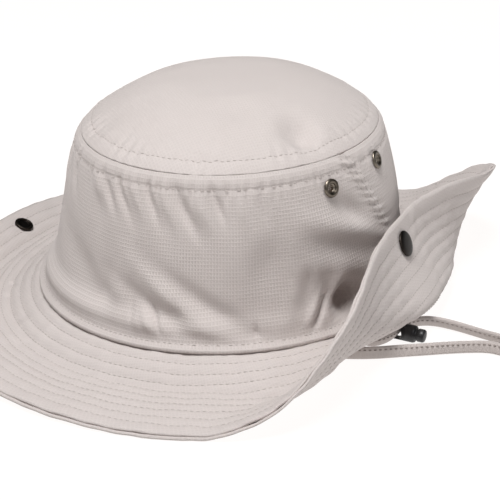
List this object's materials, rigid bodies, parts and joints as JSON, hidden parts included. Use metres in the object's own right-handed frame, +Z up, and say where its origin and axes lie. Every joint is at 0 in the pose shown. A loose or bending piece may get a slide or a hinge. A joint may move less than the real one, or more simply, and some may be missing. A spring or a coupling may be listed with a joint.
{
  "type": "safari hat",
  "caption": "Safari hat with a domed crown of two wall panels, a stitched two-ply brim snapped up on one side, vent eyelets, snaps, a chin strap and a cord lock.",
  "frame": {"origin": "on the ground, below the middle of the hat's box without the chin strap", "axes": "+Z up, -Y to the front of the hat, +X to the side that is snapped up"},
  "size_m": [0.3735, 0.3138, 0.11],
  "materials": {
    "cloth": "matt fine ripstop weave",
    "strap_cloth": "matt fine ripstop weave, folded and stitched",
    "eyelet_metal": "antique",
    "snap_metal": "dark oxide",
    "lock_plastic": "satin"
  },
  "bodies": {
    "root": {"crown_tip": "cloth", "crown_front_panel": "cloth", "crown_back_panel": "cloth", "brim_upper": "cloth", "brim_lower": "cloth", "eyelet_right_front": "eyelet_metal", "eyelet_right_back": "eyelet_metal", "eyelet_left_front": "eyelet_metal", "eyelet_left_back": "eyelet_metal", "brim_snap_right": "snap_metal", "brim_snap_left": "snap_metal", "crown_stud_right": "snap_metal", "crown_stud_left": "snap_metal", "chin_strap": "strap_cloth", "cord_lock": "lock_plastic"}
  },
  "joints": []
}
